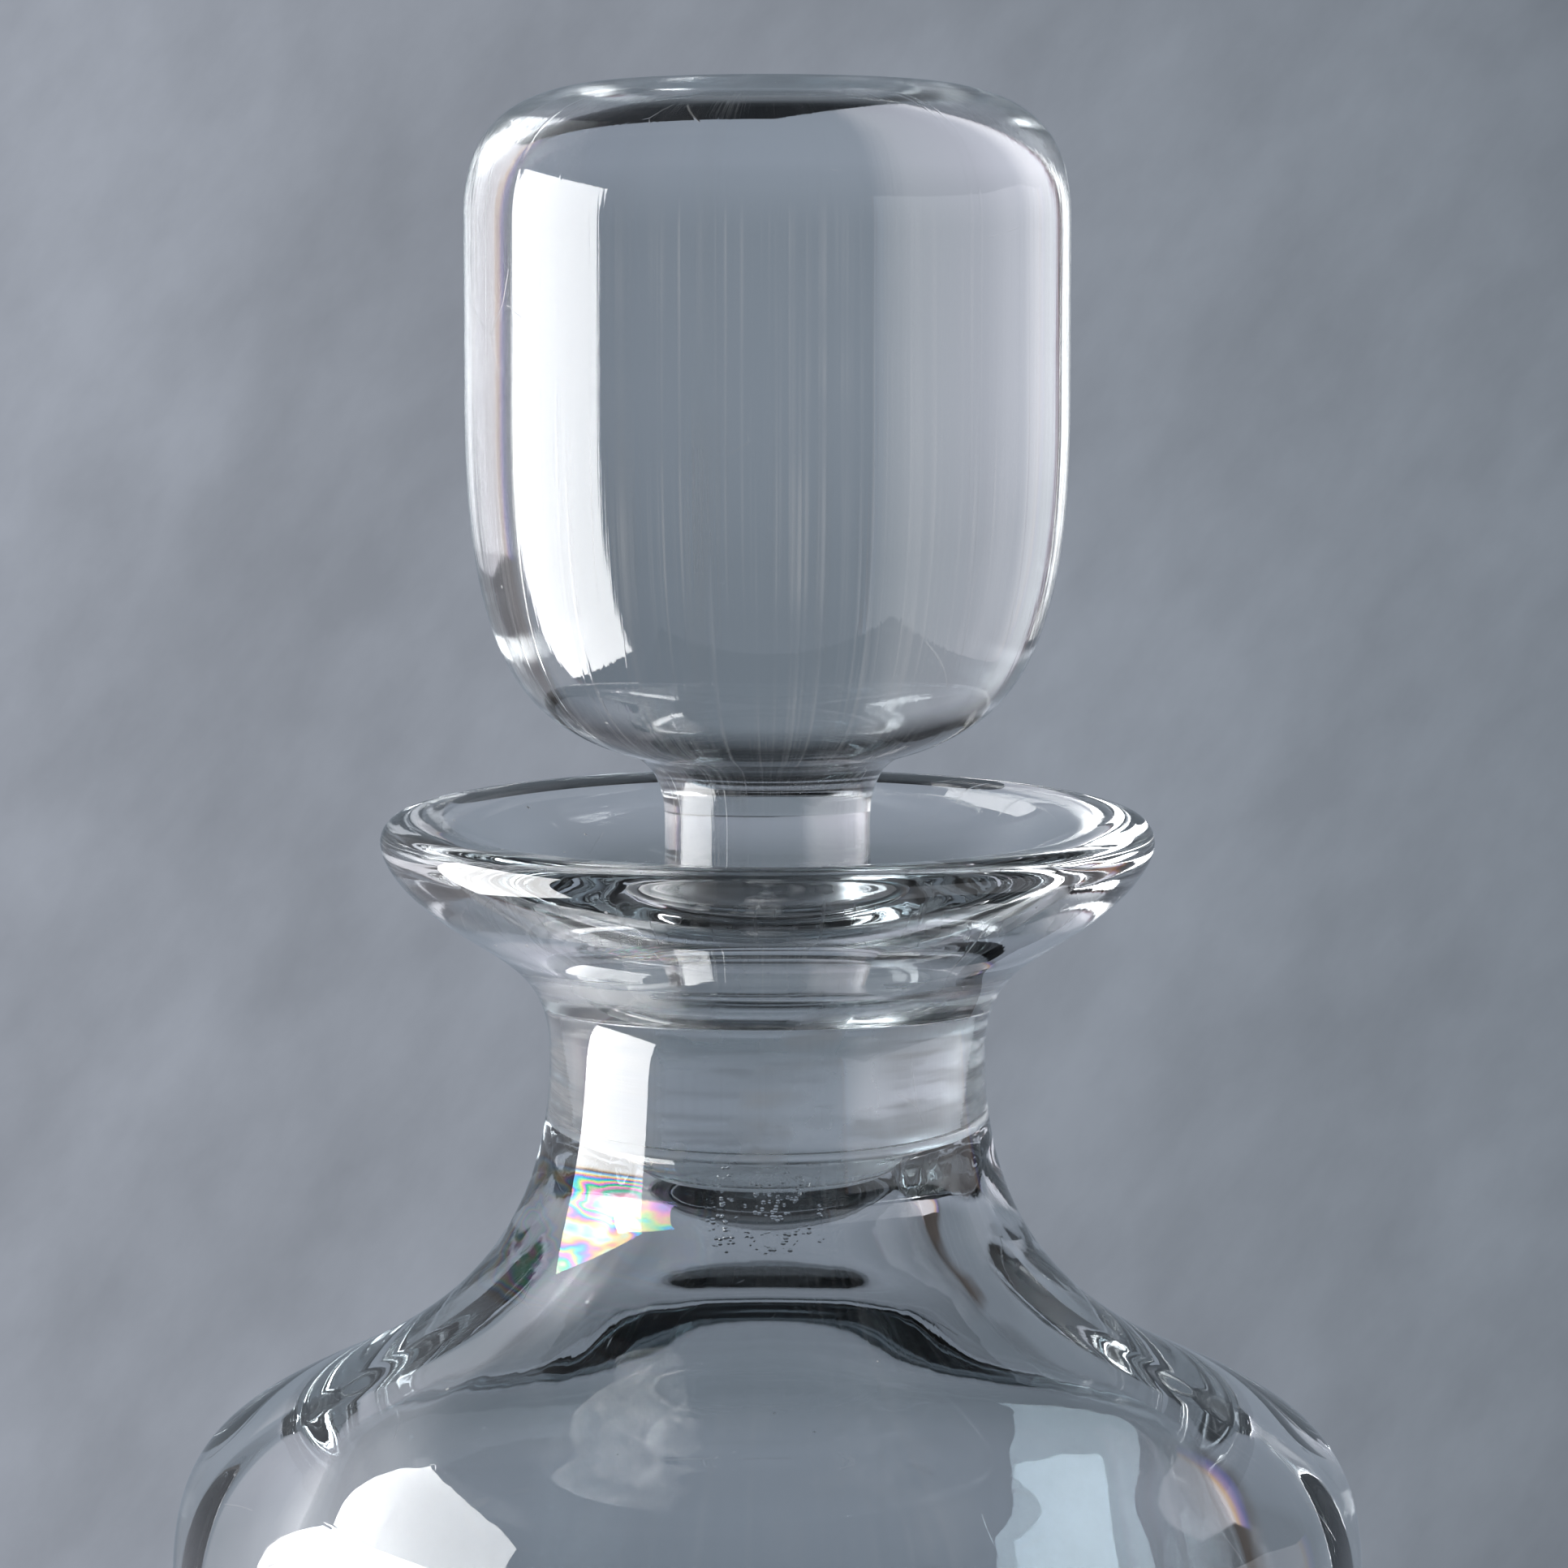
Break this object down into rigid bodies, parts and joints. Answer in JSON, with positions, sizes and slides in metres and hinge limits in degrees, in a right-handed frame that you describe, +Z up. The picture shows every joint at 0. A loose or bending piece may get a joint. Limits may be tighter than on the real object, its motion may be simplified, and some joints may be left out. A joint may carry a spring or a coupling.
{
  "type": "crystal decanter",
  "caption": "Thick clear crystal spirit decanter, round-shouldered, with a dished lip, a ground neck and a solid barrel-shaped stopper that lifts out.",
  "frame": {"origin": "centre of the foot, on the surface that the decanter stands on", "axes": "+Z up along the common axis of the vessel and the stopper; X and Y are alike, because both pieces are turned shapes"},
  "size_m": [0.1184, 0.1184, 0.2371],
  "materials": {
    "crystal": "clear lead crystal, fire-polished, with a fine ground finish on the stopper joint"
  },
  "bodies": {
    "vessel": {"decanter_body": "crystal"},
    "stopper": {"stopper": "crystal"}
  },
  "joints": [
    {"name": "stopper_lift", "type": "slide", "parent": "vessel", "child": "stopper", "axis": [0, 0, 1], "range_m": [0, 0.08]}
  ]
}
